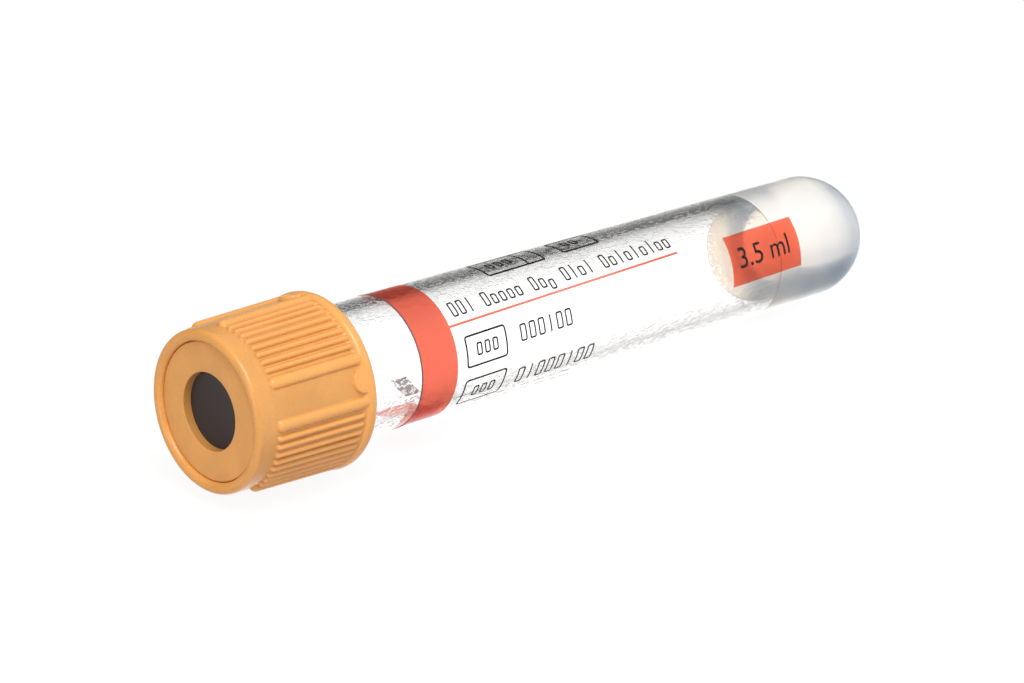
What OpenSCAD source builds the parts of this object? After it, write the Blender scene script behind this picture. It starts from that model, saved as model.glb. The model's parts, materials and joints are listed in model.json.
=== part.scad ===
// Blood collection tube: a clear round-bottomed tube with separator gel and a
// clear label, closed by a rubber stopper held in a ribbed screw cap.
// Millimetres. Each sub-part is drawn standing on the tube's round tip, and
// lay_down() then rests the whole tube on its cap flange and its round bottom.

/* [Tube] */
// Length of the tube from its round tip to its mouth
tube_len = 75; // [65:1:100]
// Outside diameter at the mouth
mouth_d = 12.7; // [12:0.05:15.2]
// How much narrower the tube is where its round bottom starts
tube_draft = 0.52; // [0.2:0.02:0.8]
// Thickness of the side wall
tube_wall = 1.0; // [0.8:0.05:1.2]
// Thickness of the wall at the round tip
tip_wall = 1.1; // [0.8:0.05:1.6]
// Chamfer inside and outside the mouth
mouth_chamfer = 0.2; // [0.05:0.05:0.35]

/* [Thread] */
// Travel of the closure along the tube for one turn of the cap
thread_lead = 9; // [6:0.5:12]
// Thread ridges, spaced evenly round the tube and round the cap
thread_starts = 3; // [2:1:4]
// Height of a ridge above the wall that carries it
thread_h = 0.42; // [0.3:0.02:0.5]
// Width of a ridge along the tube at its root
thread_root = 0.9; // [0.6:0.05:1.1]
// Width of a ridge along the tube at its crest
thread_crest = 0.4; // [0.2:0.05:0.55]
// Arc that each ridge covers
thread_arc = 84; // [40:2:90]
// Distance from the tube's mouth down to the upper end of its ridges
thread_drop = 1.0; // [0.8:0.1:1.4]
// Clearance between the ridges and what they pass
thread_gap = 0.15; // [0.1:0.01:0.25]

/* [Gel] */
// Height of the gel's surface above the round tip
gel_level = 14.6; // [9:0.1:30]

/* [Label] */
// Height of the label's lower edge above the round tip
label_low = 11.7; // [8:0.1:20]
// Distance from the label's upper edge up to the end of the cap's skirt
label_gap = 6.8; // [1:0.1:30]
// Thickness of the film
label_t = 0.06; // [0.04:0.01:0.15]
// Thickness of the glue under the film
glue_t = 0.01; // [0.005:0.005:0.03]
// Width of the bare window between the film's two ends, straight across
label_seam = 10.3; // [0.4:0.1:11]
// Angle of that window from the side that lies uppermost
label_turn = 81; // [-180:1:180]

/* [Stopper] */
// Depth of the plug in the tube
plug_depth = 4.9; // [4:0.1:6]
// Clearance of the plug's sealing beads in the bore
plug_fit = 0.05; // [0.02:0.01:0.1]
// Height of a sealing bead above the plug
bead_h = 0.16; // [0.05:0.01:0.3]
// Thickness of the collar that sits on the tube's mouth
collar_t = 3.36; // [2:0.02:5]
// Diameter of the neck that the cap turns on
neck_d = 9.2; // [8.4:0.1:10]
// Thickness of the head above the neck
head_t = 2.23; // [1.5:0.01:3]
// Diameter of the hollow under the plug
cup_d = 6.4; // [4:0.1:7.4]
// Depth of the hollow under the plug
cup_depth = 3.4; // [2:0.1:5]
// Diameter of the shallow dish under the needle port
dish_d = 6.7; // [5:0.1:7.2]
// Depth of the dish
dish_depth = 0.3; // [0.1:0.05:0.6]

/* [Cap ring] */
// Diameter of the needle port
port_d = 7.28; // [5:0.02:8.5]
// Thickness of the ring
ring_t = 0.87; // [0.7:0.01:1.4]
// Clearance round the ring in its seat
ring_gap = 0.06; // [0.03:0.01:0.12]
// Radius of the snap bead round the ring's edge
snap_r = 0.14; // [0.08:0.01:0.2]
// Chamfer on the ring's edges
ring_chamfer = 0.09; // [0.03:0.01:0.15]

/* [Cap shell] */
// Distance that the skirt reaches down past its thread ridges
skirt_lip = 0.94; // [0.4:0.01:4]
// Thickness of the skirt's wall, measured level with the ring's face
skirt_wall = 0.68; // [0.6:0.01:1.2]
// Thickness of the wall round the ring, which ends in the round rim
rim_wall = 1.1; // [0.9:0.02:1.4]
// Rise of the rim above the ring's face
rim_rise = 0.5; // [0.3:0.01:0.55]
// Growth of the wall's radius for each millimetre towards the flange
shell_draft = 0.02; // [0:0.005:0.03]
// Distance that the flange stands out past the wall
flange_out = 0.5; // [0.4:0.01:1.2]
// Radius of the flange's round section
flange_r = 0.72; // [0.6:0.02:0.85]
// Thickness of the shelf that holds the stopper's neck
shelf_t = 1.1; // [0.8:0.1:2]
// Clearance between the shelf and the neck
neck_fit = 0.05; // [0.02:0.01:0.1]
// Clearance round the stopper's head and collar
pocket_gap = 0.3; // [0.2:0.05:0.5]
// Chamfer inside the skirt's end
skirt_chamfer = 0.3; // [0.1:0.05:0.4]

/* [Grip] */
// Smooth panels round the cap, with a group of ribs between each two
panels = 4; // [3:1:4]
// Angle of the first panel from the side that lies uppermost
panel_turn = -72; // [-180:1:180]
// Angle between a panel's middle and the broad rib beside it
broad_angle = 14.6; // [12:0.1:20]
// Fine ribs in a group
fine_ribs = 8; // [4:1:8]
// Angle between a broad rib and the fine rib beside it
edge_angle = 9.0; // [8.4:0.1:10]
// Radius of a broad rib's round section
broad_r = 0.53; // [0.4:0.01:0.56]
// Height of a broad rib above the wall
broad_h = 0.39; // [0.3:0.01:0.45]
// Radius of a fine rib's round section
fine_r = 0.31; // [0.22:0.01:0.33]
// Height of a fine rib above the wall
fine_h = 0.23; // [0.15:0.01:0.28]
// Distance from the ring's face to the ribs' upper ends
rib_start = 1.5; // [1.2:0.1:3]
// Radius of the half moon on each panel, beside the flange
moon_r = 1.2; // [0.8:0.05:1.5]
// Height of the half moon above the panel
moon_h = 0.22; // [0.1:0.01:0.3]

/* [Hidden] */
$fn = 96;

mouth_r = mouth_d / 2;
base_r = mouth_r - tube_draft / 2;
// The wall grows evenly wider from the round bottom to the mouth.
taper = (mouth_r - base_r) / (tube_len - base_r);
function tube_r(z) = base_r + taper * (z - base_r);
function bore_r(z) = tube_r(z) - tube_wall;
bore_base_r = base_r - tube_wall;      // radius of the round bottom inside
bore_base_z = tip_wall + bore_base_r;  // height of that round bottom's centre

// Heights from the tube's mouth up to the ring's face.
collar_top = tube_len + collar_t;      // underside of the shelf
shelf_top = collar_top + shelf_t;      // underside of the stopper's head
head_top = shelf_top + head_t;         // underside of the ring
face_z = head_top + ring_t;            // face of the ring
plug_z = tube_len - plug_depth;        // underside of the plug

// Thread: ridges climb by the lead in one turn, the same way on the tube and in the cap.
// Each ridge of the cap lies under one of the tube's, and is a little shorter.
thread_low = tube_len - thread_drop - thread_root / 2 - thread_lead * thread_arc / 360;
cap_thread_arc = thread_arc * 5 / 7;
cap_thread_turn = thread_arc - cap_thread_arc;
cap_thread_low = thread_low - thread_root - thread_gap + thread_lead * cap_thread_turn / 360;
skirt_z = cap_thread_low - thread_root / 2 - skirt_lip;  // end of the skirt

// Radii of the closure, worked out from the tube's mouth and the named gaps.
skirt_bore_r = mouth_r + thread_h + thread_gap;
face_r = skirt_bore_r + skirt_wall;    // outside of the cap's wall, level with the ring's face
seat_r = face_r - rim_wall;            // wall round the ring
collar_r = skirt_bore_r - pocket_gap;
neck_r = neck_d / 2;
head_r = seat_r - pocket_gap;
bead_r = bore_r(plug_z) - plug_fit;
plug_r = bead_r - bead_h;
port_r = port_d / 2;
ring_r = seat_r - ring_gap;

function shell_r(z) = face_r + shell_draft * (face_z - z);
rim_r = rim_wall / 2;
rim_ring_r = seat_r + rim_r;           // radius of the circle that the rim's section follows
rim_z = face_z + rim_rise - rim_r;
flange_z = skirt_z + flange_r;
flange_ring_r = shell_r(flange_z) + flange_out - flange_r;
rib_top = face_z - rib_start;
rib_low = flange_z;

// Rest on the flange's round section and the round bottom, with the cap higher.
rest_run = flange_z - base_r;
rest_tilt = atan2(flange_ring_r, rest_run)
    + asin((flange_r - base_r) / norm([rest_run, flange_ring_r]));
rest_rise = base_r * (1 - sin(rest_tilt));
near_x = rim_z * cos(rest_tilt) + rim_ring_r * sin(rest_tilt) + rim_r;
far_x = base_r * (1 - cos(rest_tilt));
rest_shift = (near_x - far_x) / 2;

tiny = 0.02;

module lay_down() {
    translate([rest_shift, 0, rest_rise]) rotate([0, rest_tilt - 90, 0]) children();
}

// Half of a filled circle, on the side of the axis that is turned into a solid.
module half_disc(r, z) {
    intersection() {
        translate([0, z]) circle(r);
        translate([0, z - r]) square([r, 2 * r]);
    }
}

// Everything inside the tube up to height z_top.
module bore_outline(z_top) {
    half_disc(bore_base_r, bore_base_z);
    polygon([
        [0, bore_base_z], [bore_base_r, bore_base_z],
        [bore_r(z_top), z_top], [0, z_top],
    ]);
}

// A ridge along a helix, with flat flanks; its foot sinks a little into the wall.
// side = 1 stands out of a wall, side = -1 stands into a bore.
module ridge(wall_r, z_low, turn, arc, side) {
    steps = ceil(arc / 4);
    foot = wall_r - side * 0.1;
    tip = wall_r + side * thread_h;
    ring = [
        [foot, -thread_root / 2], [tip, -thread_crest / 2],
        [tip, thread_crest / 2], [foot, thread_root / 2],
    ];
    points = [
        for (i = [0 : steps], p = ring)
            let (a = arc * i / steps, z = z_low + thread_lead * a / 360 + p[1])
                [p[0] * cos(a + turn), p[0] * sin(a + turn), z],
    ];
    sides = [
        for (i = [0 : steps - 1], k = [0 : 3])
            let (a = 4 * i + k, b = 4 * i + (k + 1) % 4)
                side < 0 ? [a, a + 4, b + 4, b] : [a, b, b + 4, a + 4],
    ];
    last = 4 * steps;
    ends = side < 0
        ? [[0, 1, 2, 3], [last + 3, last + 2, last + 1, last]]
        : [[3, 2, 1, 0], [last, last + 1, last + 2, last + 3]];
    polyhedron(points = points, faces = concat(ends, sides));
}

module tube() {
    color([0.93, 0.95, 0.96, 0.35]) lay_down() {
        rotate_extrude() difference() {
            union() {
                half_disc(base_r, base_r);
                polygon([
                    [0, base_r], [base_r, base_r],
                    [tube_r(tube_len - mouth_chamfer), tube_len - mouth_chamfer],
                    [mouth_r - mouth_chamfer, tube_len], [0, tube_len],
                ]);
            }
            bore_outline(tube_len + tiny);
            polygon([
                [0, tube_len - mouth_chamfer],
                [bore_r(tube_len), tube_len - mouth_chamfer],
                [bore_r(tube_len) + mouth_chamfer + tiny, tube_len + tiny],
                [0, tube_len + tiny],
            ]);
        }
        for (k = [0 : thread_starts - 1])
            ridge(mouth_r, thread_low, 360 * k / thread_starts, thread_arc, 1);
    }
}

module gel() {
    color([0.93, 0.90, 0.83]) lay_down()
        rotate_extrude() bore_outline(gel_level);
}

module label() {
    film_low = tube_r(label_low) + glue_t;
    label_top = skirt_z - label_gap;
    film_top = tube_r(label_top) + glue_t;
    color([0.96, 0.96, 0.96, 0.3]) lay_down() difference() {
        rotate_extrude() polygon([
            [film_low, label_low], [film_low + label_t, label_low],
            [film_top + label_t, label_top], [film_top, label_top],
        ]);
        rotate([0, 0, label_turn])
            translate([0, -label_seam / 2, 0]) cube([mouth_r + 1, label_seam, tube_len]);
    }
}

module stopper() {
    neck_low = collar_top - tiny;
    dish_r = (pow(dish_d / 2, 2) + pow(dish_depth, 2)) / (2 * dish_depth);
    bead_curve = 2 * bead_h;
    color([0.24, 0.21, 0.20]) lay_down() rotate_extrude() difference() {
        union() {
            // plug with a chamfered foot and two sealing beads
            polygon([
                [0, plug_z], [plug_r - 0.5, plug_z], [plug_r, plug_z + 0.5],
                [plug_r, tube_len + tiny], [0, tube_len + tiny],
            ]);
            for (z = [plug_z + 1.3, plug_z + 3.1])
                translate([bead_r - bead_curve, z]) circle(bead_curve);
            translate([0, tube_len]) square([collar_r, collar_t]);
            translate([0, neck_low]) square([neck_r, shelf_t + 2 * tiny]);
            translate([0, shelf_top]) square([head_r, head_t]);
        }
        // hollow under the plug, with a round roof
        translate([0, plug_z - 1]) square([cup_d / 2, cup_depth + 1 - cup_d / 4]);
        intersection() {
            translate([0, plug_z + cup_depth - cup_d * 5 / 8]) circle(cup_d * 5 / 8);
            translate([0, plug_z]) square([cup_d / 2, cup_depth]);
        }
        // shallow dish under the needle port
        intersection() {
            translate([0, head_top + dish_r - dish_depth]) circle(dish_r, $fn = 360);
            translate([0, head_top - 1]) square([seat_r, 2]);
        }
    }
}

module cap_ring() {
    c = ring_chamfer;
    color([0.86, 0.60, 0.32]) lay_down() rotate_extrude() {
        polygon([
            [port_r, head_top], [ring_r, head_top],
            [ring_r, face_z - c], [ring_r - c, face_z],
            [port_r + c, face_z], [port_r, face_z - c],
        ]);
        translate([ring_r - snap_r / 2, head_top + ring_t / 2]) circle(snap_r);
    }
}

// One rib: a round bar with round ends, sunk in the wall but never through it.
module rib(turn, widest_r, h) {
    r = min(widest_r, (skirt_wall + h) / 2);
    rise = atan(shell_draft);
    top_r = shell_r(rib_top) + h - r;
    rotate([0, 0, turn]) translate([top_r, 0, rib_top - r]) rotate([0, 180 - rise, 0])
        rotate_extrude() {
            square([r, rib_top - r - rib_low]);
            half_disc(r, 0);
        }
}

// The smooth wall, grown by h, between two heights.
module wall_cone(h, z_low, z_high) {
    translate([0, 0, z_low])
        cylinder(h = z_high - z_low, r1 = shell_r(z_low) + h, r2 = shell_r(z_high) + h);
}

// Raised half disc on a panel, standing on the flange.
module half_moon(turn) {
    z = skirt_z + 2 * flange_r - tiny;
    rotate([0, 0, turn]) intersection() {
        translate([shell_r(z) - 0.3, 0, z]) rotate([0, 90, 0]) cylinder(h = 2, r = moon_r);
        wall_cone(moon_h, z - moon_r - 1, z + moon_r + 1);
    }
}

// Section of the cap shell: drafted wall, round rim and flange, seat, shelf and skirt.
module shell_outline() {
    difference() {
        union() {
            polygon([
                [0, skirt_z], [flange_ring_r, skirt_z], [shell_r(flange_z), flange_z],
                [shell_r(rim_z), rim_z], [0, rim_z],
            ]);
            translate([rim_ring_r, rim_z]) circle(rim_r);
            translate([flange_ring_r, flange_z]) circle(flange_r);
        }
        // seat of the ring and pocket of the stopper's head, with the snap groove
        translate([0, shelf_top]) square([seat_r, face_z]);
        translate([ring_r - snap_r / 2, head_top + ring_t / 2]) circle(snap_r + ring_gap);
        // hole in the shelf
        translate([0, collar_top - 1]) square([neck_r + neck_fit, shelf_t + 2]);
        // bore of the skirt, chamfered at its end
        polygon([
            [0, skirt_z - 1], [skirt_bore_r + skirt_chamfer, skirt_z - 1],
            [skirt_bore_r + skirt_chamfer, skirt_z], [skirt_bore_r, skirt_z + skirt_chamfer],
            [skirt_bore_r, collar_top], [0, collar_top],
        ]);
    }
}

module cap_shell() {
    fine_step = (360 / panels - 2 * broad_angle - 2 * edge_angle) / (fine_ribs - 1);
    color([0.91, 0.62, 0.28]) lay_down() {
        rotate_extrude() shell_outline();
        for (k = [0 : panels - 1]) {
            panel = panel_turn + 360 * k / panels;
            for (s = [-1, 1]) rib(panel + s * broad_angle, broad_r, broad_h);
            for (i = [0 : fine_ribs - 1])
                rib(panel + broad_angle + edge_angle + i * fine_step, fine_r, fine_h);
            half_moon(panel);
        }
        for (k = [0 : thread_starts - 1])
            ridge(
                skirt_bore_r, cap_thread_low, 360 * k / thread_starts + cap_thread_turn,
                cap_thread_arc, -1
            );
    }
}

tube();
gel();
label();
stopper();
cap_shell();
cap_ring();
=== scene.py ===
"""Looks of a blood collection tube that lies on its cap's flange and its round bottom.

Each piece is modelled standing on the tube's round tip, in millimetres, and is then laid
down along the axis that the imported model's joints give.
"""

import json
import math

import bpy
import numpy as np
from bpy.props import FloatProperty, FloatVectorProperty, IntProperty, PointerProperty
from mathutils import Matrix, Vector


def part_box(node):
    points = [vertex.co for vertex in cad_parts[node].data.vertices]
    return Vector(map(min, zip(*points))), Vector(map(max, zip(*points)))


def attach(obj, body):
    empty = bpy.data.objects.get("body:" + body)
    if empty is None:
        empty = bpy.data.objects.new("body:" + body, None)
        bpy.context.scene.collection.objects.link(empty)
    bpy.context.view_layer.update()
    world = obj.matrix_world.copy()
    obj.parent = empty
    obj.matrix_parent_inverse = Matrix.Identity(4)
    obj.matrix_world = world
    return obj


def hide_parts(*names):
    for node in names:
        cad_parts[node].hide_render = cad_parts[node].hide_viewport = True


bl_info = {
    "name": "Blood collection tube",
    "version": (1, 0, 0),
    "blender": (4, 5, 0),
    "location": "View3D > Sidebar > Collection tube",
    "description": "Models a gel tube with its printed film, rubber stopper and ribbed screw cap",
    "category": "Object",
}

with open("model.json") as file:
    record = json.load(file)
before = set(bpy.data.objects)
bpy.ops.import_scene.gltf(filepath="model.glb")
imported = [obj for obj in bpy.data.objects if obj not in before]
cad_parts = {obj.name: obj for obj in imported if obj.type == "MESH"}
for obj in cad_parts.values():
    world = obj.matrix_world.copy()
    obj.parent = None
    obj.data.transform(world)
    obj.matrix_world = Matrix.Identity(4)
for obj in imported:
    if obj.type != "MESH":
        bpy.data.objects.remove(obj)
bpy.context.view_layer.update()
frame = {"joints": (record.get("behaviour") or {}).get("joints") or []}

MM = 0.001
JOINTS = {joint["name"]: joint for joint in frame["joints"]}

# Along the tube and out of its mouth, a point on its axis in the needle port, and the
# direction across the tube to the side that lies uppermost
OUTWARD = Vector(JOINTS["cap_turn"]["axis"]).normalized()
PORT = Vector(JOINTS["cap_turn"]["pos_m"])
UPPERMOST = Vector((0, 1, 0)).cross(OUTWARD)


# ---------------------------------------------------------------------------
# Sizes and colours that a user would change
# ---------------------------------------------------------------------------


def size(name, default, description, low=0.0):
    """A length in millimetres."""
    return FloatProperty(
        name=name, description=description + ", in mm", default=default, min=low, precision=3
    )


def turn(name, degrees, description):
    """An angle, shown in degrees."""
    return FloatProperty(
        name=name, description=description, default=math.radians(degrees), subtype="ANGLE"
    )


def colour(name, default, description):
    """A colour in linear light."""
    return FloatVectorProperty(
        name=name, description=description, default=default, subtype="COLOR", min=0, max=1
    )


class TubeSizes(bpy.types.PropertyGroup):
    """Sizes of the tube, its gel and its film"""

    length: size("Length", 75, "From the round tip to the mouth")
    mouth_r: size("Mouth radius", 6.35, "Outside radius at the mouth")
    base_r: size("Bottom radius", 6.09, "Outside radius of the round bottom")
    wall: size("Wall", 1.0, "Thickness of the side wall")
    tip_wall: size("Tip wall", 1.1, "Thickness of the wall at the round tip")
    lip: size("Lip", 0.2, "Rounding of the mouth's edges")
    gel_level: size("Gel level", 14.6, "Height of the gel's surface above the tip")
    film_low: size("Film's lower edge", 11.7, "Height of the film's lower edge above the tip")
    film_top: size("Film's upper edge", 62.81, "Height of the film's upper edge above the tip")
    film_lift: size("Film lift", 0.034, "Distance from the wall to the film")
    film_t: size("Film thickness", 0.03, "Thickness of the film")
    film_gap: turn("Film gap", 110, "Angle between the film's two ends")
    film_turn: turn("Film turn", 81, "Angle of that gap's middle from the uppermost side")
    film_skew: turn("Film skew", 1.45, "Turn of the print out of line with the tube")
    thread_lead: size("Thread lead", 9, "Travel of the closure in one turn")
    thread_h: size("Thread height", 0.42, "Height of a ridge above its wall")
    thread_root: size("Thread root", 0.9, "Width of a ridge at its foot")
    thread_crest: size("Thread crest", 0.4, "Width of a ridge at its crest")
    thread_low: size("Thread start", 71.45, "Height of a ridge's lower end above the tip")
    thread_arc: turn("Thread arc", 84, "Arc that each ridge covers")
    thread_starts: IntProperty(
        name="Thread starts", description="Ridges spaced evenly round the tube", default=3, min=1
    )


class CapSizes(bpy.types.PropertyGroup):
    """Sizes of the cap and the stopper"""

    face_z: size("Face", 82.56, "Height of the ring's face above the tube's tip")
    ring_t: size("Ring thickness", 0.87, "Thickness of the ring")
    port_r: size("Port radius", 3.64, "Radius of the needle port")
    ring_r: size("Ring radius", 6.44, "Outside radius of the ring")
    seat_r: size("Seat radius", 6.5, "Radius of the wall round the ring")
    wall_r: size("Wall radius", 7.6, "Outside radius of the smooth wall at the face")
    draft: size("Draft", 0.02, "Growth of that radius for each millimetre towards the flange")
    rim_rise: size("Rim rise", 0.5, "Height of the rim above the face")
    skirt_z: size("Skirt end", 69.61, "Height of the skirt's end above the tube's tip")
    skirt_r: size("Skirt bore", 6.92, "Inside radius of the skirt")
    flange_r: size("Flange radius", 8.345, "Outside radius of the flange")
    bead_r: size("Flange bead", 0.72, "Radius of the flange's round section")
    shelf_z: size("Shelf", 78.36, "Height of the shelf's underside")
    shelf_t: size("Shelf thickness", 1.1, "Thickness of the shelf round the stopper's neck")
    thread_low: size("Thread start", 71.0, "Height of a ridge's lower end above the tube's tip")
    thread_arc: turn("Thread arc", 60, "Arc that each ridge covers")
    neck_r: size("Neck hole", 4.65, "Radius of the hole in the shelf")
    plug_depth: size("Plug depth", 4.9, "Depth of the stopper's plug in the tube")
    plug_r: size("Plug radius", 5.085, "Radius of the stopper's plug")
    seal_h: size("Sealing bead", 0.16, "Height of each of the two beads on the plug")
    cup_r: size("Cup radius", 3.2, "Radius of the hollow under the plug")
    panels: IntProperty(name="Panels", description="Smooth panels round the cap", default=4, min=1)
    panel_turn: turn("Panel turn", -72, "Angle of the first panel from the uppermost side")
    broad_angle: turn("Broad rib angle", 14.6, "From a panel's middle to the broad rib beside it")
    edge_angle: turn("Edge angle", 9.0, "From a broad rib to the fine rib beside it")
    fine_ribs: IntProperty(name="Fine ribs", description="Fine ribs in a group", default=8, min=2)
    broad_w: size("Broad rib width", 1.16, "Width of a broad rib at its foot")
    broad_h: size("Broad rib height", 0.44, "Height of a broad rib above the wall")
    fine_w: size("Fine rib width", 0.62, "Width of a fine rib at its foot")
    fine_h: size("Fine rib height", 0.34, "Height of a fine rib above the wall")
    moon_r: size("Half moon radius", 1.2, "Radius of the half moon on each panel")
    moon_h: size("Half moon height", 0.36, "Height of the half moon above the panel")


class Finishes(bpy.types.PropertyGroup):
    """Colours of the object"""

    cap: colour("Cap", (0.77, 0.352, 0.088), "Amber plastic of the cap")
    rubber: colour("Stopper", (0.030, 0.019, 0.018), "Dark rubber of the stopper")
    tube: colour("Tube", (0.985, 0.99, 0.99), "Clear plastic of the tube")
    gel: colour("Gel", (1.0, 0.81, 0.60), "Separator gel, seen through")
    gel_veil: colour("Gel haze", (0.27, 0.62, 1.0), "Haze in the separator gel")
    red_ink: colour("Red ink", (0.84, 0.175, 0.11), "Band, rule and capacity patch")
    black_ink: colour("Black ink", (0.018, 0.015, 0.015), "Frames, bars and numbers")


class StageSetup(bpy.types.PropertyGroup):
    """Camera and light"""

    azimuth: turn("Azimuth", 42.974, "Heading of the view, from +Y towards +X")
    pitch: turn("Pitch", 21.738, "Angle that the camera looks down")
    distance: size("Distance", 400, "From the aim to the camera")
    lens: FloatProperty(
        name="Focal length", description="Of a 36 mm wide sensor", default=147.84, unit="CAMERA"
    )
    aim: FloatVectorProperty(
        name="Aim",
        description="Point that the camera looks at, in mm",
        default=(-3.06, 1.06, 4.91),
    )


def settings():
    """The scene's own property groups."""
    scene = bpy.context.scene
    return scene.tube_sizes, scene.cap_sizes, scene.tube_finishes, scene.tube_stage


# ---------------------------------------------------------------------------
# Modelling
# ---------------------------------------------------------------------------


def lie_matrix():
    """Takes a point from standing on the tip, in millimetres, to its place in the row frame."""
    tube = bpy.context.scene.tube_sizes
    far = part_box("tube")[1].x
    middle = PORT + OUTWARD * ((far - tube.base_r * MM - PORT.x) / OUTWARD.x)
    tip = middle - OUTWARD * tube.base_r * MM
    turned = Matrix((UPPERMOST, (0, 1, 0), OUTWARD)).transposed().to_4x4()
    return Matrix.Translation(tip) @ turned @ Matrix.Scale(MM, 4)


def pick(*objects):
    """Selects these objects and no others, and makes the first one active."""
    bpy.ops.object.select_all(action="DESELECT")
    for obj in objects:
        obj.select_set(True)
    bpy.context.view_layer.objects.active = objects[0]


def join(objects):
    """Joins objects into one."""
    pick(*objects)
    bpy.ops.object.join()
    return bpy.context.object


def start(name):
    """A new mesh object with nothing else selected, in edit mode, holding one point."""
    bpy.ops.object.select_all(action="DESELECT")
    bpy.ops.mesh.primitive_plane_add(size=1, location=(0, 0, 0))
    obj = bpy.context.object
    obj.name = obj.data.name = name
    bpy.ops.object.mode_set(mode="EDIT")
    bpy.ops.mesh.select_all(action="SELECT")
    bpy.ops.mesh.merge(type="CENTER")
    return obj


def trace(name, outline, closed):
    """Draws an outline of (radius, height) points by extruding one point along it."""
    obj = start(name)
    place = Vector((0, 0, 0))
    for index, (radius, height) in enumerate(outline):
        step = Vector((radius, 0, height)) - place
        place += step
        if index:
            bpy.ops.mesh.extrude_region_move(TRANSFORM_OT_translate={"value": step})
        else:
            bpy.ops.transform.translate(value=step)
    if closed:
        bpy.ops.mesh.select_all(action="DESELECT")
        bpy.ops.object.mode_set(mode="OBJECT")
        for index in (0, len(outline) - 1):
            obj.data.vertices[index].select = True
        bpy.ops.object.mode_set(mode="EDIT")
        bpy.ops.mesh.edge_face_add()
    return obj


def lathe(name, outline, steps, closed=False):
    """Spins an outline once round the standing axis."""
    obj = trace(name, outline, closed)
    bpy.ops.mesh.select_all(action="SELECT")
    bpy.ops.mesh.spin(steps=steps, angle=2 * math.pi, center=(0, 0, 0), axis=(0, 0, 1))
    bpy.ops.mesh.select_all(action="SELECT")
    bpy.ops.mesh.remove_doubles(threshold=0.0005)
    bpy.ops.mesh.normals_make_consistent(inside=False)
    bpy.ops.object.mode_set(mode="OBJECT")
    return obj


def close_ends():
    """Puts a face on each open end of a spun piece."""
    bpy.ops.mesh.select_all(action="DESELECT")
    bpy.ops.mesh.select_non_manifold(extend=False)
    bpy.ops.mesh.edge_face_add()
    bpy.ops.mesh.select_all(action="SELECT")
    bpy.ops.mesh.normals_make_consistent(inside=False)


def thread_ridges(name, wall_r, side, low, arc_turn, first):
    """Thread ridges on a wall: an outline is spun part of a turn, then climbs by the lead.

    side is 1 for ridges on an outer wall and -1 for ridges in a bore.
    """
    tube = settings()[0]
    sunk = 0.1
    foot = wall_r - side * sunk
    crest = wall_r + side * tube.thread_h
    root_half, crest_half = tube.thread_root / 2, tube.thread_crest / 2
    outline = [
        (foot, low - root_half),
        (crest, low - crest_half),
        (crest, low + crest_half),
        (foot, low + root_half),
    ]
    ridges = []
    for k in range(tube.thread_starts):
        obj = trace(name, outline, True)
        bpy.ops.mesh.select_all(action="SELECT")
        bpy.ops.mesh.spin(steps=28, angle=arc_turn, center=(0, 0, 0), axis=(0, 0, 1))
        close_ends()
        bpy.ops.object.mode_set(mode="OBJECT")
        for point in obj.data.vertices:
            x, y, z = point.co
            climbed = abs(math.atan2(y, x))
            angle = first + k * 2 * math.pi / tube.thread_starts + climbed
            radius = math.hypot(x, y)
            z += tube.thread_lead * climbed / (2 * math.pi)
            point.co = (radius * math.cos(angle), radius * math.sin(angle), z)
        ridges.append(obj)
    thread = join(ridges)
    bpy.ops.object.mode_set(mode="EDIT")
    bpy.ops.mesh.select_all(action="SELECT")
    bpy.ops.mesh.normals_make_consistent(inside=False)
    bpy.ops.object.mode_set(mode="OBJECT")
    return thread


def arc(centre, radius, start_angle, end_angle, steps):
    """Points on an arc, with angles in degrees from the outward direction towards the mouth."""
    angles = np.radians(np.linspace(start_angle, end_angle, steps + 1))
    return [
        (centre[0] + radius * math.cos(a), centre[1] + radius * math.sin(a)) for a in angles
    ]


def line(low, high, steps):
    """Evenly spaced points from one point to another, without the last."""
    return [tuple(np.array(low) + (np.array(high) - low) * i / steps) for i in range(steps)]


def settle(obj, body, material, degrees=35):
    """Lays a piece down, gives it its finish and lets it ride on its body.

    Its shading is smooth, with edges sharper than this angle left crisp.
    """
    obj.matrix_world = lie_matrix()
    pick(obj)
    bpy.ops.object.transform_apply(location=True, rotation=True, scale=True)
    bpy.ops.object.shade_smooth_by_angle(angle=math.radians(degrees))
    obj.data.materials.clear()
    obj.data.materials.append(material)
    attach(obj, body)


# ---------------------------------------------------------------------------
# Shading
# ---------------------------------------------------------------------------

# Outputs of nodes, by their place in the list
GENERATED, OBJECT = 0, 3        # Texture Coordinate
CAMERA_RAY, SHADOW_RAY = 0, 1   # Light Path
BACKFACING = 6                  # Geometry
FACING = 1                      # Layer Weight


class Socket:
    """A node's output that takes part in arithmetic."""

    def __init__(self, shader, output):
        self.shader = shader
        self.output = output

    def maths(self, operation, *others):
        """A Math node that takes this value first."""
        return self.shader.node("ShaderNodeMath", {"operation": operation}, [self, *others])

    def __add__(self, other):
        return self.maths("ADD", other)

    def __sub__(self, other):
        return self.maths("SUBTRACT", other)

    def __rsub__(self, other):
        return self.shader.node("ShaderNodeMath", {"operation": "SUBTRACT"}, [other, self])

    def __mul__(self, other):
        return self.maths("MULTIPLY", other)

    def __truediv__(self, other):
        return self.maths("DIVIDE", other)

    def __lt__(self, other):
        return self.maths("LESS_THAN", other)

    def __gt__(self, other):
        return self.maths("GREATER_THAN", other)

    __radd__ = __add__
    __rmul__ = __mul__

    def between(self, low, high):
        """1 above high, 0 below low, and a straight ramp between."""
        return self.shader.node(
            "ShaderNodeMapRange",
            {},
            {"Value": self, "From Min": low, "From Max": high, "To Min": 0.0, "To Max": 1.0},
        )


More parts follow.
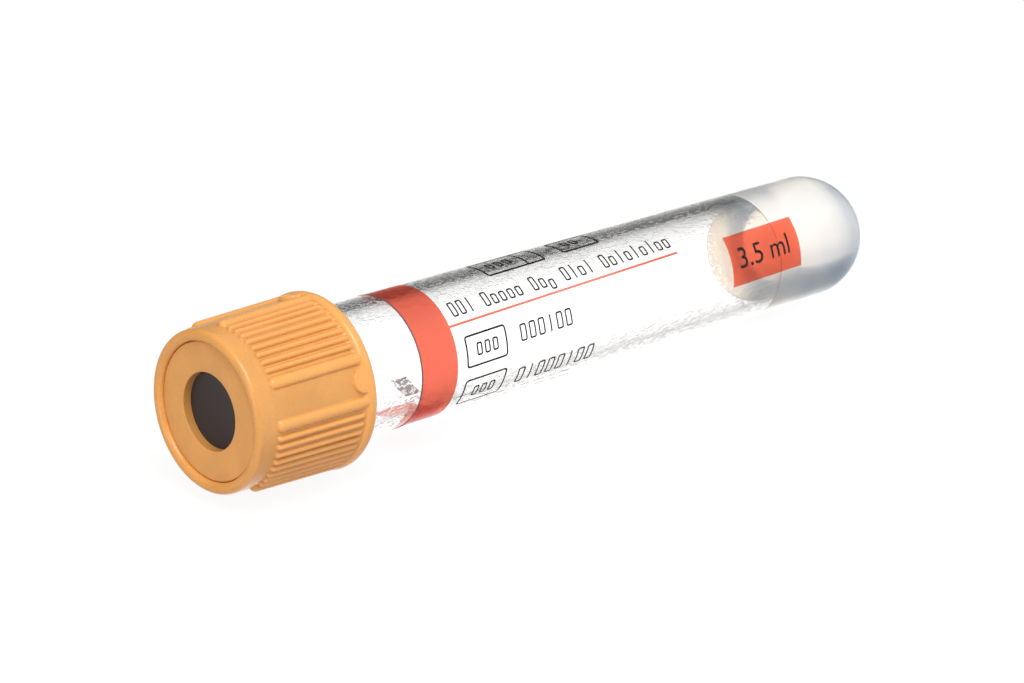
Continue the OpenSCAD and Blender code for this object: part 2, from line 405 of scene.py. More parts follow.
class Shader:
    """The nodes of a new material or world, written as expressions."""

    def __init__(self, name, world=False):
        library = bpy.data.worlds if world else bpy.data.materials
        self.owner = library.new(name)
        self.owner.use_nodes = True
        self.tree = self.owner.node_tree
        self.tree.nodes.clear()

    def node(self, kind, options=None, inputs=None, output=0):
        """Adds a node: its settings first, then the values or links of its inputs."""
        made = self.tree.nodes.new(kind)
        for key, value in (options or {}).items():
            setattr(made, key, value)
        pairs = inputs.items() if isinstance(inputs, dict) else enumerate(inputs or [])
        for key, value in pairs:
            if isinstance(value, Socket):
                self.tree.links.new(value.output, made.inputs[key])
            else:
                made.inputs[key].default_value = value
        return Socket(self, made.outputs[output]) if made.outputs else None

    def standing(self):
        """Millimetres in the tube's own frame: x to its uppermost side, z from its tip."""
        back = lie_matrix().inverted()
        turned = back.to_3x3() * MM
        angles = turned.to_euler()
        return self.node(
            "ShaderNodeMapping",
            {"vector_type": "POINT"},
            {
                "Vector": self.node("ShaderNodeTexCoord", output=OBJECT),
                "Location": back.translation,
                "Rotation": (angles.x, angles.y, angles.z),
                "Scale": (1 / MM, 1 / MM, 1 / MM),
            },
        )

    def split(self, vector):
        """The x, y and z of a vector."""
        first = self.node("ShaderNodeSeparateXYZ", {}, [vector])
        outputs = first.output.node.outputs
        return [Socket(self, outputs[i]) for i in range(3)]

    def from_axis(self, x, y):
        """Distance from the tube's axis."""
        return (x * x + y * y).maths("SQRT")

    def noise(self, vector, scale, detail=2.0, roughness=0.5):
        """Noise from 0 to 1; the scale is in waves to a millimetre."""
        return self.node(
            "ShaderNodeTexNoise",
            {},
            {"Vector": vector, "Scale": scale, "Detail": detail, "Roughness": roughness},
        )

    def mix(self, share, low, high):
        """Mixes two colours."""
        return self.node(
            "ShaderNodeMix", {"data_type": "RGBA"}, {0: share, 6: low, 7: high}, output=2
        )

    def bump(self, height, strength, distance):
        """A bumped normal; the distance is in metres."""
        return self.node(
            "ShaderNodeBump", {}, {"Height": height, "Strength": strength, "Distance": distance}
        )

    def principled(self, **inputs):
        """A Principled BSDF, with its sockets' names in lower case."""
        values = {key.replace("_", " ").title(): value for key, value in inputs.items()}
        values["IOR"] = values.pop("Ior", 1.5)
        return self.node("ShaderNodeBsdfPrincipled", {}, values)

    def blend(self, share, low, high):
        """Mixes two shaders."""
        return self.node("ShaderNodeMixShader", {}, [share, low, high])

    def front(self):
        """1 on the side that a face points to and 0 behind it."""
        return 1 - self.node("ShaderNodeNewGeometry", output=BACKFACING)

    def lamps_pass(self, surface, tint=(1.0, 1.0, 1.0, 1.0)):
        """Lets light from lamps through to what is behind the surface."""
        to_lamp = self.node("ShaderNodeLightPath", output=SHADOW_RAY)
        clear = self.node("ShaderNodeBsdfTransparent", {}, [tint])
        return self.blend(to_lamp, surface, clear)

    def finish(self, surface, kind="ShaderNodeOutputMaterial"):
        """Adds the output node and gives the finished material or world."""
        self.node(kind, {}, {"Surface": surface})
        return self.owner


def rgba(value):
    """An opaque colour for a socket."""
    return (*value, 1.0)


def grey(level):
    """An opaque grey."""
    return (level, level, level, 1.0)


def tinted(value, factor):
    """A lighter or darker version of a colour."""
    return tuple(min(1.0, channel * factor) for channel in value)


def cap_plastic():
    """Satin amber plastic: moulded grain, slight clouding, scuffs, a painted highlight on the
    crests and painted shade between the ribs and in the needle port.
    """
    _, cap, finishes, _ = settings()
    s = Shader("Amber cap plastic")
    where = s.standing()
    x, y, z = s.split(where)
    radius = s.from_axis(x, y)
    wall = cap.wall_r + cap.draft * (cap.face_z - z)
    # Painted highlight: whatever stands out from the wall, such as rib crests and the flange, is
    # paler
    crest = (radius - wall).between(0.08, 0.30)
    # Painted shade: the outer wall below the face, away from the crests, is darker, as between the
    # ribs
    outer = (radius > cap.wall_r - 0.05) * (z < cap.face_z - 1.4)
    foot = (1 - crest) * outer
    cloud = s.noise(where, 0.35, 3.0)
    grain = s.noise(where, 9.0, 4.0, 0.6)
    scuffs = s.noise(where, 1.6, 3.0, 0.7).between(0.66, 0.74)
    base = s.mix(
        cloud.between(0.35, 0.65),
        rgba(tinted(finishes.cap, 0.96)),
        rgba(tinted(finishes.cap, 1.05)),
    )
    base = s.mix(crest * 0.6, base, rgba(tinted(finishes.cap, 1.25)))
    base = s.mix(foot * 0.13, base, rgba(tinted(finishes.cap, 0.66)))
    base = s.mix(scuffs * 0.12, base, rgba(tinted(finishes.cap, 1.3)))
    # Painted shade: the wall of the needle port in the ring is darker
    port = (radius < cap.port_r + 0.03) * (z > cap.face_z - cap.ring_t - 0.1)
    base = s.mix(port * 0.5, base, rgba(tinted(finishes.cap, 0.55)))
    surface = s.principled(
        base_color=base,
        roughness=0.23 + grain * 0.1 + scuffs * 0.06,
        ior=1.5,
        subsurface_weight=0.04,
        subsurface_radius=(1.0, 0.45, 0.15),
        subsurface_scale=0.001,
        normal=s.bump(grain, 0.12, 0.00002),
    )
    return s.finish(surface)


def stopper_rubber():
    """Dark rubber with a dull skin and a few pale specks of dust."""
    finishes = settings()[2]
    s = Shader("Stopper rubber")
    where = s.standing()
    skin = s.noise(where, 4.0, 4.0, 0.6)
    dust = s.noise(where, 6.0, 1.0).between(0.80, 0.84)
    base = s.mix(skin, rgba(tinted(finishes.rubber, 0.85)), rgba(tinted(finishes.rubber, 1.2)))
    base = s.mix(dust * 0.5, base, rgba((0.5, 0.47, 0.45)))
    surface = s.principled(
        base_color=base,
        roughness=0.42 + skin * 0.2,
        ior=1.52,
        normal=s.bump(skin, 0.15, 0.00003),
    )
    return s.finish(surface)


def clear_plastic():
    """Clear plastic, with dried drops of coating in its bore and painted grey shade on its dome
    where it is seen edge-on.
    """
    tube, _, finishes, _ = settings()
    s = Shader("Clear tube plastic")
    where = s.standing()
    x, y, z = s.split(where)
    radius = s.from_axis(x, y)
    inside = radius < (tube.base_r + tube.mouth_r) / 2 - tube.wall / 2
    bore = inside * (z > tube.gel_level)
    drawn_out = s.node("ShaderNodeMapping", {}, {"Vector": where, "Scale": (1.0, 1.0, 0.45)})
    drops = s.noise(drawn_out, 3.6, 3.0, 0.7).between(0.52, 0.64) * bore
    drops = drops * (1 + (z > tube.film_top) * 0.2)
    from_centre = (radius * radius + (z - tube.base_r) * (z - tube.base_r)).maths("SQRT")
    dome_top = tube.base_r + 1.5
    dome = (from_centre > tube.base_r - tube.wall / 2) * (z < dome_top)
    # Painted shade: the dome turns grey where it is seen edge-on
    painted_rim_shade = s.node("ShaderNodeLayerWeight", output=FACING).between(0.66, 0.95)
    glass = s.principled(
        base_color=s.mix(dome * painted_rim_shade, rgba(finishes.tube), rgba((0.42, 0.44, 0.48))),
        roughness=0.002 + drops * 0.02,
        ior=1.57,
        transmission_weight=1.0,
        normal=s.bump(drops, 0.5, 0.000015),
    )
    return s.finish(s.lamps_pass(glass, grey(0.91)))


def separator_gel():
    """Gel that is warm where light comes through it and blue-grey where it scatters light.

    A thin line of painted shade shows where its surface meets the wall.
    """
    tube, _, finishes, _ = settings()
    s = Shader("Separator gel")
    where = s.standing()
    x, y, z = s.split(where)
    haze = s.noise(where, 0.5, 2.0)
    top = z > tube.gel_level - 0.02
    clear = s.principled(
        base_color=s.mix(top, rgba(finishes.gel), rgba((1.0, 0.975, 0.94))),
        roughness=0.012 + top * 0.2,
        ior=1.42,
        transmission_weight=1.0,
    )
    veil = s.principled(
        base_color=s.mix(top, rgba(finishes.gel_veil), rgba((1.0, 0.96, 0.90))),
        roughness=0.5,
        ior=1.42,
    )
    front = s.front()
    surface = s.blend(front * (0.26 + haze * 0.06 - top * 0.09), clear, veil)
    # Painted shade: a thin dark line where the gel's surface meets the wall
    dark = s.principled(base_color=rgba((0.16, 0.14, 0.13)), roughness=0.4)
    at_wall = s.from_axis(x, y) > tube.base_r - tube.wall
    painted_contact_shade = front * (z > tube.gel_level + 0.04) * at_wall * 0.55
    return s.finish(s.lamps_pass(s.blend(painted_contact_shade, surface, dark), grey(0.80)))


def film():
    """Clear glossy film whose cut edge shows as a thin dark line."""
    tube = settings()[0]
    s = Shader("Clear film")
    z = s.split(s.standing())[2]
    edge = z > tube.film_top - 0.15
    gloss = s.principled(
        base_color=s.mix(edge, grey(0.95), rgba((0.10, 0.07, 0.07))),
        metallic=1 - edge,
        roughness=0.12,
    )
    sheen = s.node("ShaderNodeFresnel", {}, {"IOR": 1.15})
    clear = s.node("ShaderNodeBsdfTransparent")
    share = sheen * s.front() + edge * 0.85
    return s.finish(s.lamps_pass(s.blend(share, clear, gloss)))


def ink(name, tint, cover):
    """Printing ink: a colour filter with a little body, laid thinner near the gel.

    cover is the share of the body, and light crosses the filter twice.
    """
    tube = settings()[0]
    thin_below = tube.film_low + 12
    s = Shader(name)
    where = s.standing()
    mottle = s.noise(where, 3.0, 3.0, 0.6)
    base = s.mix(mottle, rgba(tinted(tint, 0.92)), rgba(tinted(tint, 1.06)))
    body = s.principled(base_color=base, roughness=0.5, ior=1.1)
    one_face = [channel**0.5 for channel in tint]
    thinner = tinted(one_face, 1.17)
    filtered = s.blend(
        s.split(where)[2] < thin_below,
        s.node("ShaderNodeBsdfTransparent", {}, [rgba(one_face)]),
        s.node("ShaderNodeBsdfTransparent", {}, [rgba(thinner)]),
    )
    share = cover - 0.03 + mottle * 0.06
    return s.finish(s.lamps_pass(s.blend(share, filtered, body), rgba(one_face)))


# ---------------------------------------------------------------------------
# Pieces
# ---------------------------------------------------------------------------


def taper(tube):
    """Growth of the tube's radius for each millimetre from its round bottom to its mouth."""
    return (tube.mouth_r - tube.base_r) / (tube.length - tube.base_r)


def tube_outline(tube):
    """Section of the tube: round bottom, tapered wall, rounded lip, bore."""
    bore_r = tube.base_r - tube.wall
    lip = tube.lip
    top = tube.length - lip
    return (
        arc((0, tube.base_r), tube.base_r, -90, 0, 40)
        + line((tube.base_r, tube.base_r + 0.4), (tube.mouth_r, top), 12)
        + arc((tube.mouth_r - lip, top), lip, 0, 90, 5)
        + arc((tube.mouth_r - tube.wall + lip, top), lip, 90, 180, 5)
        + line((tube.mouth_r - tube.wall, top - 0.4), (bore_r, tube.tip_wall + bore_r), 12)
        + arc((0, tube.tip_wall + bore_r), bore_r, 0, -90, 36)
    )


class TUBE_OT_tube(bpy.types.Operator):
    """Models the clear tube"""

    bl_idname = "collection_tube.tube"
    bl_label = "Tube"

    def execute(self, context):
        tube = settings()[0]
        obj = lathe("tube_body", tube_outline(tube), 256)
        settle(obj, "tube", clear_plastic())
        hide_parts("tube")
        thread = thread_ridges("tube_thread", tube.mouth_r, 1, tube.thread_low, tube.thread_arc, 0)
        settle(thread, "tube", obj.active_material)
        return {"FINISHED"}


class TUBE_OT_gel(bpy.types.Operator):
    """Models the separator gel"""

    bl_idname = "collection_tube.gel"
    bl_label = "Separator gel"

    def execute(self, context):
        tube = settings()[0]
        soak = 0.02
        radius = tube.base_r - tube.wall + soak
        middle = tube.tip_wall + tube.base_r - tube.wall
        level = tube.gel_level
        top_r = radius + taper(tube) * (level - middle)
        climb = 0.12
        outline = (
            arc((0, middle), radius, -90, 0, 36)
            + line((radius + taper(tube) * 0.4, middle + 0.4), (top_r, level + climb), 4)
            + [(top_r, level + climb), (top_r - climb, level + 0.03)]
            + [(top_r - 0.35, level), (0, level)]
        )
        obj = lathe("gel_plug", outline, 192)
        settle(obj, "tube", separator_gel())
        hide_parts("gel")
        return {"FINISHED"}


def wall_radius(tube, height):
    """Outside radius of the tube's wall at a height."""
    return tube.base_r + taper(tube) * (height - tube.base_r)


def film_radius(tube, height):
    """Outside radius of the film at a height."""
    return wall_radius(tube, height) + tube.film_lift + tube.film_t


class TUBE_OT_film(bpy.types.Operator):
    """Models the clear film round the tube"""

    bl_idname = "collection_tube.film"
    bl_label = "Film"

    def execute(self, context):
        tube = settings()[0]
        outside = line(
            (film_radius(tube, tube.film_low), tube.film_low),
            (film_radius(tube, tube.film_top), tube.film_top),
            4,
        ) + [(film_radius(tube, tube.film_top), tube.film_top)]
        inside = [(radius - tube.film_t, height) for radius, height in reversed(outside)]
        obj = trace("label_film", outside + inside, True)
        bpy.ops.mesh.select_all(action="SELECT")
        first = tube.film_turn - tube.film_gap / 2
        bpy.ops.transform.rotate(
            value=-first, orient_axis="Z", center_override=(0, 0, 0), orient_type="GLOBAL"
        )
        bpy.ops.mesh.spin(
            steps=192, angle=2 * math.pi - tube.film_gap, center=(0, 0, 0), axis=(0, 0, 1)
        )
        close_ends()
        bpy.ops.object.mode_set(mode="OBJECT")
        settle(obj, "tube", film())
        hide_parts("label")
        return {"FINISHED"}


def stopper_outline():
    """Section of the stopper: dished head, neck, collar and hollow plug."""
    tube, cap, _, _ = settings()
    head_top = cap.face_z - cap.ring_t
    shelf_top = cap.shelf_z + cap.shelf_t
    neck_r = cap.neck_r - 0.05
    head_r = cap.seat_r - 0.3
    collar_r = cap.skirt_r - 0.3
    plug_r = cap.plug_r
    plug_z = tube.length - cap.plug_depth
    bead_half, bead_heights = 0.55, (3.1, 1.3)
    dish_r, dish_depth = 3.35, 0.3
    cup_z, cup_dome = plug_z + 1.8, 1.6
    edge, corner = 0.12, 0.5
    return (
        [
            (r, head_top - dish_depth * (1 - (r / dish_r) ** 2))
            for r in np.linspace(0, dish_r, 14)
        ]
        + arc((head_r - edge, head_top - edge), edge, 90, 0, 3)
        + arc((head_r - edge, shelf_top + edge), edge, 0, -90, 3)
        + [(neck_r, shelf_top), (neck_r, cap.shelf_z)]
        + arc((collar_r - edge, cap.shelf_z - edge), edge, 90, 0, 3)
        + arc((collar_r - edge, tube.length + edge), edge, 0, -90, 3)
        + [(plug_r, tube.length)]
        + [
            (plug_r + cap.seal_h * math.cos(math.radians(a)), plug_z + mid + bead_half * a / 90)
            for mid in bead_heights
            for a in (90, 60, 30, 0, -30, -60, -90)
        ]
        + arc((plug_r - corner, plug_z + corner), corner, 0, -90, 4)
        + [(cap.cup_r, plug_z), (cap.cup_r, cup_z)]
        + [
            (cap.cup_r * math.cos(math.radians(a)), cup_z + cup_dome * math.sin(math.radians(a)))
            for a in (15, 30, 45, 60, 75, 90)
        ]
    )


class TUBE_OT_stopper(bpy.types.Operator):
    """Models the rubber stopper"""

    bl_idname = "collection_tube.stopper"
    bl_label = "Stopper"

    def execute(self, context):
        obj = lathe("stopper_plug", stopper_outline(), 128)
        settle(obj, "stopper", stopper_rubber())
        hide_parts("stopper")
        return {"FINISHED"}


def shell_outline(cap):
    """Section of the cap shell, with close rows where ribs and half moons end."""
    rim_r = (cap.wall_r - cap.seat_r) / 2
    rim = (cap.seat_r + rim_r, cap.face_z + cap.rim_rise - rim_r)
    shelf_top = cap.shelf_z + cap.shelf_t

    def wall(z):
        return (cap.wall_r + cap.draft * (cap.face_z - z), z)

    def rows(high, low, count):
        return [wall(z) for z in np.linspace(high, low, count, endpoint=False)]

    bead = (cap.flange_r - cap.bead_r, cap.skirt_z + cap.bead_r)
    lead_in = 0.3
    return (
        [(cap.neck_r, cap.shelf_z), (cap.neck_r, shelf_top), (cap.seat_r, shelf_top)]
        + [(cap.seat_r, cap.face_z - cap.ring_t)]
        + arc(rim, rim_r, 180, 0, 18)
        + rows(cap.face_z - 0.3, cap.face_z - 1.3, 3)
        + rows(cap.face_z - 1.3, cap.face_z - 2.4, 14)
        + rows(cap.face_z - 2.4, cap.skirt_z + 3.0, 8)
        + rows(cap.skirt_z + 3.0, cap.skirt_z + 1.62, 20)
        + arc(bead, cap.bead_r, 58, -90, 20)
        + [(cap.skirt_r + lead_in, cap.skirt_z), (cap.skirt_r, cap.skirt_z + lead_in)]
        + [(cap.skirt_r, cap.shelf_z)]
    )


def rib_places(cap):
    """(angle, half width, height, top, low, roundness) of each rib round the cap."""
    pitch = 2 * math.pi / cap.panels
    step = (pitch - 2 * cap.broad_angle - 2 * cap.edge_angle) / (cap.fine_ribs - 1)
    top = cap.face_z - 1.5
    broad = (cap.broad_w / 2, cap.broad_h, top, cap.skirt_z + 0.75, 0.55)
    fine = (cap.fine_w / 2, cap.fine_h, top - 0.05, cap.skirt_z + 1.25, 0.8)
    places = []
    for k in range(cap.panels):
        panel = cap.panel_turn + k * pitch
        for side in (-1, 1):
            places.append((panel + side * cap.broad_angle, *broad))
        for i in range(cap.fine_ribs):
            places.append((panel + cap.broad_angle + cap.edge_angle + i * step, *fine))
    return places


def raise_grip(obj, cap):
    """Raises the ribs and half moons out of the shell's outer wall."""
    moon_z = cap.skirt_z + 1.35
    moon_edge = 0.09
    count = len(obj.data.vertices)
    spots = np.zeros(count * 3)
    obj.data.vertices.foreach_get("co", spots)
    spots = spots.reshape(-1, 3)
    radius = np.hypot(spots[:, 0], spots[:, 1])
    angle = np.arctan2(spots[:, 1], spots[:, 0])
    height = spots[:, 2]
    wall = cap.wall_r + cap.draft * (cap.face_z - height)
    outer = (radius > wall - 0.02) & (height < cap.face_z - 1.0) & (height > cap.skirt_z + 0.1)

    def across(middle):
        """How far round the wall each point lies from this angle."""
        return ((angle - middle + math.pi) % (2 * math.pi) - math.pi) * wall

    rise = np.zeros(count)
    for middle, half, tall, top, low, roundness in rib_places(cap):
        along = np.maximum(0, np.maximum(height - (top - half), (low + half) - height))
        share = np.clip(1 - (across(middle) ** 2 + along**2) / half**2, 0, 1)
        rise = np.maximum(rise, tall * share**roundness)
    for k in range(cap.panels):
        middle = cap.panel_turn + k * 2 * math.pi / cap.panels
        reach = np.hypot(across(middle), height - moon_z)
        share = np.clip((cap.moon_r - reach) / moon_edge, 0, 1)
        rise = np.maximum(rise, cap.moon_h * share * share * (3 - 2 * share))
    factor = np.ones(count)
    factor[outer] = np.maximum(radius, wall + rise)[outer] / radius[outer]
    spots[:, :2] *= factor[:, None]
    obj.data.vertices.foreach_set("co", spots.ravel())
    obj.data.update()


class TUBE_OT_cap_shell(bpy.types.Operator):
    """Models the ribbed cap shell"""

    bl_idname = "collection_tube.cap_shell"
    bl_label = "Cap shell"

    def execute(self, context):
        tube, cap, _, _ = settings()
        obj = lathe("cap_shell_body", shell_outline(cap), 900, closed=True)
        raise_grip(obj, cap)
        settle(obj, "cap", cap_plastic(), degrees=52)
        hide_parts("cap_shell")
        first = tube.thread_arc - cap.thread_arc
        thread = thread_ridges(
            "cap_thread", cap.skirt_r, -1, cap.thread_low, cap.thread_arc, first
        )
        settle(thread, "cap", obj.active_material)
        return {"FINISHED"}


class TUBE_OT_cap_ring(bpy.types.Operator):
    """Models the ring that holds the stopper"""

    bl_idname = "collection_tube.cap_ring"
    bl_label = "Cap ring"

    def execute(self, context):
        cap = settings()[1]
        low = cap.face_z - cap.ring_t
        edge = 0.09
        outline = (
            [(cap.port_r, low), (cap.ring_r, low)]
            + arc((cap.ring_r - edge, cap.face_z - edge), edge, 0, 90, 4)
            + arc((cap.port_r + edge, cap.face_z - edge), edge, 90, 180, 4)
        )
        obj = lathe("cap_ring_body", outline, 192, closed=True)
        settle(obj, "cap", bpy.data.materials["Amber cap plastic"])
        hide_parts("cap_ring")
        return {"FINISHED"}


# ---------------------------------------------------------------------------
# Print: drawn flat in millimetres, then rolled round the tube beneath the film
# ---------------------------------------------------------------------------

# Thickness of the ink, and how far each colour lies off the wall, so that none touch
INK_T = 0.006
RED_LIFT, GREY_LIFT, BLACK_LIFT = 0.008, 0.012, 0.020

# Lower left corner, length and width of the patch of small squares
CODE_PLACE = (5.0, -16.4, 1.9, 2.8)


def bar(x, y, length, width, corner=0.0):
    """A flat bar with its lower left corner at x, y and rounded corners."""
    bpy.ops.object.select_all(action="DESELECT")
    bpy.ops.mesh.primitive_plane_add(size=1, location=(0, 0, 0))
    bpy.ops.object.mode_set(mode="EDIT")
    bpy.ops.transform.resize(value=(length, width, 1))
    bpy.ops.transform.translate(value=(x + length / 2, y + width / 2, 0))
    if corner:
        bpy.ops.mesh.bevel(offset=corner, segments=4, affect="VERTICES")
    bpy.ops.object.mode_set(mode="OBJECT")
    return bpy.context.object


def box_frame(x, y, length, width, stroke, corner=0.35):
    """The outline of a box with rounded corners."""
    obj = bar(x, y, length, width, corner)
    bpy.ops.object.mode_set(mode="EDIT")
    bpy.ops.mesh.select_all(action="SELECT")
    bpy.ops.mesh.inset(thickness=stroke)
    bpy.ops.mesh.delete(type="FACE")
    bpy.ops.object.mode_set(mode="OBJECT")
    return [obj]


def words(x, y, lengths, gap, width):
    """A row of bars in place of small words."""
    row = []
    for length in lengths:
        row.append(bar(x, y, length, width, width * 0.35))
        x += length + gap
    return row


def blocks(x, y, pattern, pitch, low, tall, stroke=0.17):
    """Small open boxes and upright bars in place of letters.

    x is a low box, n a tall one, p one that hangs down and l a tall bar.
    """
    drop = 0.38
    row = []
    for place, kind in enumerate(pattern):
        left = x + place * pitch
        if kind == "l":
            row.append(bar(left + pitch * 0.28, y, stroke, tall))
        elif kind != " ":
            height = tall if kind == "n" else low
            foot = y - (drop if kind == "p" else 0)
            row += box_frame(left, foot, pitch * 0.7, height, stroke, 0.22)
    return row


def code(x, y, length, width, cell):
    """A patch of small squares in place of a code."""
    row = []
    for i in range(int(length / cell)):
        for j in range(int(width / cell)):
            if (i * i + 3 * j + i * j * 5) % 7 < 5:
                row.append(bar(x + i * cell, y + j * cell, cell * 0.92, cell * 0.92))
    return row


def lettering(text, x, y, tall, squeeze):
    """Flat text of this height with its lower left corner at x, y."""
    bpy.ops.object.select_all(action="DESELECT")
    bpy.ops.object.text_add(location=(0, 0, 0))
    obj = bpy.context.object
    obj.data.body = text
    obj.data.resolution_u = 6
    bpy.ops.object.convert(target="MESH")
    obj = bpy.context.object
    corners = np.array([v.co for v in obj.data.vertices])
    low, high = corners.min(0), corners.max(0)
    up = tall / (high[1] - low[1])
    across = up * squeeze
    shift = Matrix.Translation((x - low[0] * across, y - low[1] * up, 0))
    obj.matrix_world = shift @ Matrix.Diagonal((across, up, 1, 1))
    return obj


def roll(name, shapes, lift):
    """Joins flat shapes and rolls them round the tube, this far off its wall.

    x runs down the tube from the film's upper edge, and y round it from the cap's first panel.
    The film is wound slightly askew, so y creeps round as x grows.
    """
    tube, cap, _, _ = settings()
    obj = join(shapes)
    bpy.ops.object.transform_apply(location=True, rotation=True, scale=True)
    obj.name = obj.data.name = name
    reach = np.array([v.co.y for v in obj.data.vertices])
    bpy.ops.object.mode_set(mode="EDIT")
    for y in np.arange(reach.min() + 0.2, reach.max(), 0.25):
        bpy.ops.mesh.select_all(action="SELECT")
        bpy.ops.mesh.bisect(plane_co=(0, y, 0), plane_no=(0, 1, 0))
    bpy.ops.object.mode_set(mode="OBJECT")
    middle_r = film_radius(tube, (tube.film_low + tube.film_top) / 2)
    for point in obj.data.vertices:
        height = tube.film_top - point.co.x
        angle = cap.panel_turn + (point.co.y + point.co.x * math.tan(tube.film_skew)) / middle_r
        radius = wall_radius(tube, height) + lift
        point.co = (radius * math.cos(angle), radius * math.sin(angle), height)
    body = obj.modifiers.new("Ink", "SOLIDIFY")
    body.thickness = INK_T
    body.offset = 1
    bpy.ops.object.modifier_apply(modifier=body.name)
    return obj


class TUBE_OT_print(bpy.types.Operator):
    """Prints the red band, rule and patch, the black frames, rows and capacity, and the greys"""

    bl_idname = "collection_tube.print"
    bl_label = "Print"

    def execute(self, context):
        finishes = settings()[2]
        band, rule, patch = (
            bar(0.05, -12.3, 4.45, 22.8),
            bar(4.5, 1.92, 30.1, 0.22),
            bar(40.87, -3.2, 9.55, 5.2),
        )
        frames = (
            box_frame(5.64, -2.30, 5.15, 3.08, 0.19)
            + box_frame(5.64, -6.7, 5.26, 3.2, 0.19)
            + box_frame(12.4, 5.86, 7.6, 3.41, 0.26)
            + box_frame(22.4, 5.97, 4.9, 3.08, 0.26)
            + [bar(17.7, 5.86, 0.22, 3.41)]
        )
        framed = (
            blocks(13.6, 6.9, "xxx", 1.1, 1.2, 1.6, 0.24)
            + blocks(23.5, 6.9, "xx", 1.1, 1.2, 1.6, 0.24)
        )
        squares = code(*CODE_PLACE, 0.38)
        capacity = lettering("3.5 ml", 42.0, -1.55, 2.12, 0.98)
        rows = (
            blocks(5.5, 2.75, "nnl nxxxx nxp nlxl nxlxlxlxx", 1.04, 1.12, 1.6)
            + blocks(12.5, -1.4, "nnnlnn", 1.17, 1.1, 1.66)
            + blocks(12.5, -5.95, "nlnnnlnn", 1.27, 1.2, 1.85)
            + blocks(6.95, -1.35, "nnn", 1.0, 1.1, 1.25)
            + blocks(7.0, -5.75, "nnn", 1.0, 1.1, 1.25)
        )
        red = [band, rule, patch]
        black = frames + framed + squares + [capacity] + rows
        word_lengths = (1.3, 0.8, 1.6, 0.6, 1.2, 1.5, 0.9, 1.4)
        pale = [bar(*CODE_PLACE)] + words(9.0, -8.8, word_lengths, 0.45, 0.35)
        for name, shapes, lift, material in (
            ("print_red", red, RED_LIFT, ink("Red ink", finishes.red_ink, 0.12)),
            ("print_black", black, BLACK_LIFT, ink("Black ink", finishes.black_ink, 0.97)),
            ("print_grey", pale, GREY_LIFT, ink("Grey ink", tinted(finishes.black_ink, 12), 0.5)),
        ):
            settle(roll(name, shapes, lift), "tube", material)
        return {"FINISHED"}


# ---------------------------------------------------------------------------
# Stage
# ---------------------------------------------------------------------------

# Brightness that gloss and clear plastic show, by how far a ray points up or down
BAND = (
    (-1.0, 1.5),
    (-0.50, 1.5),
    (-0.30, 1.33),
    (-0.19, 1.02),
    (-0.13, 0.94),
    (-0.095, 0.88),
    (-0.06, 0.47),
    (-0.02, 0.35),
    (0.045, 0.23),
    (0.11, 0.18),
    (0.21, 0.15),
    (0.42, 0.15),
    (0.50, 0.26),
    (0.57, 0.48),
    (0.64, 0.76),
    (0.75, 1.0),
    (1.0, 1.0),
)


# Name, direction from the aim, distance, width and height in metres, power in watts, and
# whether gloss shows it
LAMPS = (
    ("key", (-0.35, -0.50, 0.95), 0.55, 0.3, 0.3, 1.85, True),
    ("fill", (-1.0, -0.3, 0.25), 0.6, 0.4, 0.4, 1.0, True),
    ("side", (0.63, -0.22, 0.74), 0.5, 0.25, 0.2, 0.4, False),
)


def lamp(aim, name, heading, distance, width, height, power, glossy):
    """A soft area lamp that faces the aim and doesn't show through clear plastic."""
    direction = Vector(heading)
    bpy.ops.object.light_add(type="AREA", location=aim + direction.normalized() * distance)
    obj = bpy.context.object
    obj.name = name
    obj.data.shape = "RECTANGLE"
    obj.data.size = width
    obj.data.size_y = height
    obj.data.energy = power
    obj.visible_transmission = False
    obj.visible_glossy = glossy
    obj.rotation_euler = direction.to_track_quat("Z", "Y").to_euler()


def studio_world(stage):
    """White behind the object, plain light for it, and a dark band above the horizon.

    The band, dimmer sides to the left and right and a bright panel low on one side show in
    gloss and clear plastic only.
    """
    s = Shader("Studio", world=True)
    path = s.node("ShaderNodeLightPath").output.node.outputs
    camera = Socket(s, path["Is Camera Ray"])
    through = Socket(s, path["Is Transmission Ray"])
    shown = Socket(s, path["Is Glossy Ray"]).maths("MAXIMUM", through)
    x, y, z = s.split(s.node("ShaderNodeTexCoord", output=GENERATED))
    band = s.node("ShaderNodeValToRGB", {}, {"Fac": z * 0.5 + 0.5})
    ramp = band.output.node.color_ramp
    for height, level in BAND:
        stop = ramp.elements.new(height * 0.5 + 0.5)
        stop.color = (level, level * 0.985, level * 0.975, 1)
    ramp.elements.remove(ramp.elements[0])
    ramp.elements.remove(ramp.elements[-1])
    flat = x * x + y * y
    across = x * math.cos(stage.azimuth) - y * math.sin(stage.azimuth)
    sides = (across * across / (flat + 0.001)).between(0.02, 0.42) * flat.between(0.05, 0.3)
    shaded = s.mix(sides * 0.5, band, grey(0))
    panel = across.between(0.30, 0.75) * z.between(-0.62, -0.40)
    around = s.mix(panel, shaded, grey(1.5))
    plain = s.mix(camera, grey(0.4), grey(1))
    colour = s.mix(shown, plain, around)
    background = s.node("ShaderNodeBackground", {}, {"Color": colour})
    return s.finish(background, "ShaderNodeOutputWorld")


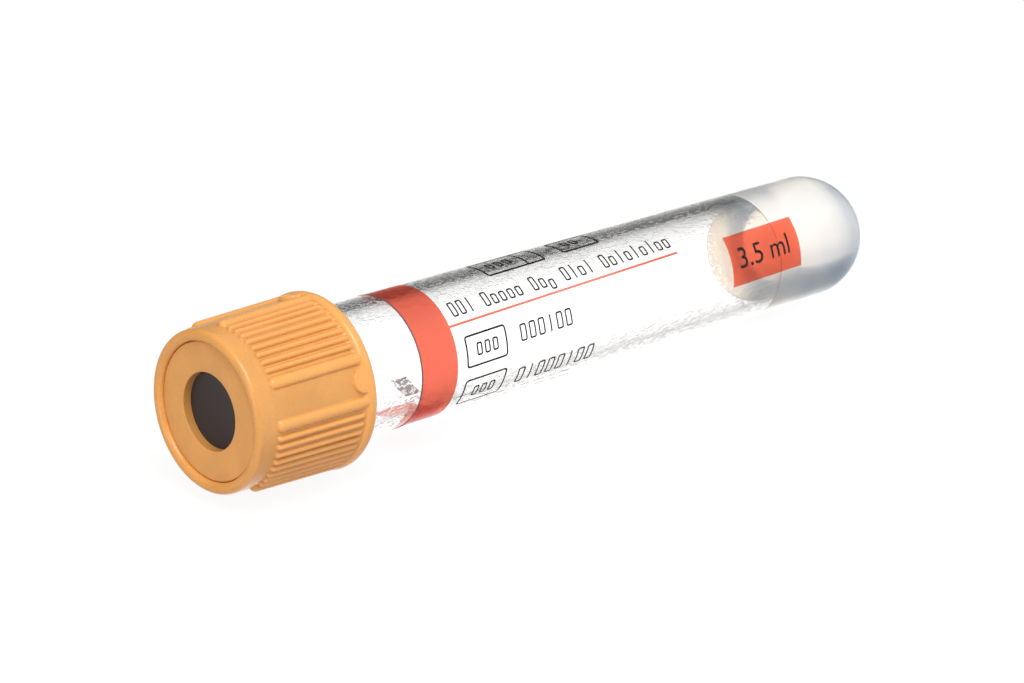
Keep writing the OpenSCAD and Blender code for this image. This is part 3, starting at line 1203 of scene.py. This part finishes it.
class TUBE_OT_stage(bpy.types.Operator):
    """Sets the floor, the lamps, the world and the camera"""

    bl_idname = "collection_tube.stage"
    bl_label = "Stage"

    def execute(self, context):
        stage = settings()[3]
        scene = context.scene
        bpy.ops.object.select_all(action="DESELECT")
        bpy.ops.mesh.primitive_plane_add(size=6, location=(0, 0, 0))
        floor = context.object
        floor.name = "floor"
        s = Shader("White floor")
        camera = s.node("ShaderNodeLightPath", output=CAMERA_RAY)
        glow = s.node("ShaderNodeEmission", {}, {"Color": grey(1), "Strength": 1.09})
        white = s.node("ShaderNodeBsdfDiffuse", {}, {"Color": grey(0.62)})
        floor.data.materials.append(s.finish(s.blend(camera * 0.85, white, glow)))
        floor.visible_transmission = False
        floor.visible_glossy = False

        aim = Vector(stage.aim) * MM
        for values in LAMPS:
            lamp(aim, *values)
        scene.world = studio_world(stage)

        forward = Vector(
            (
                math.sin(stage.azimuth) * math.cos(stage.pitch),
                math.cos(stage.azimuth) * math.cos(stage.pitch),
                -math.sin(stage.pitch),
            )
        )
        bpy.ops.object.camera_add(
            location=aim - forward * stage.distance * MM,
            rotation=(math.pi / 2 - stage.pitch, 0, -stage.azimuth),
        )
        view = context.object
        view.data.lens = stage.lens
        view.data.sensor_width = 36
        view.data.clip_start = 0.01
        scene.camera = view
        scene.view_settings.view_transform = "Standard"
        return {"FINISHED"}


# ---------------------------------------------------------------------------
# Add-on
# ---------------------------------------------------------------------------

OPERATORS = (
    TUBE_OT_tube,
    TUBE_OT_gel,
    TUBE_OT_film,
    TUBE_OT_stopper,
    TUBE_OT_cap_shell,
    TUBE_OT_cap_ring,
    TUBE_OT_print,
    TUBE_OT_stage,
)


class TUBE_PT_panel(bpy.types.Panel):
    """Lists the pieces and the stage"""

    bl_label = "Collection tube"
    bl_idname = "TUBE_PT_panel"
    bl_space_type = "VIEW_3D"
    bl_region_type = "UI"
    bl_category = "Collection tube"

    def draw(self, context):
        for operator in OPERATORS:
            self.layout.operator(operator.bl_idname)


GROUPS = {
    "tube_sizes": TubeSizes,
    "cap_sizes": CapSizes,
    "tube_finishes": Finishes,
    "tube_stage": StageSetup,
}


def register():
    """Registers the classes and puts their settings on the scene."""
    for made in (*GROUPS.values(), *OPERATORS, TUBE_PT_panel):
        bpy.utils.register_class(made)
    for name, group in GROUPS.items():
        setattr(bpy.types.Scene, name, PointerProperty(type=group))


def unregister():
    """Takes the settings and the classes away again."""
    for name in GROUPS:
        delattr(bpy.types.Scene, name)
    for made in (TUBE_PT_panel, *reversed(OPERATORS), *GROUPS.values()):
        bpy.utils.unregister_class(made)


def main():
    """Makes every piece and the stage."""
    register()
    for operator in OPERATORS:
        group, name = operator.bl_idname.split(".")
        getattr(getattr(bpy.ops, group), name)()


if __name__ == "__main__":
    main()
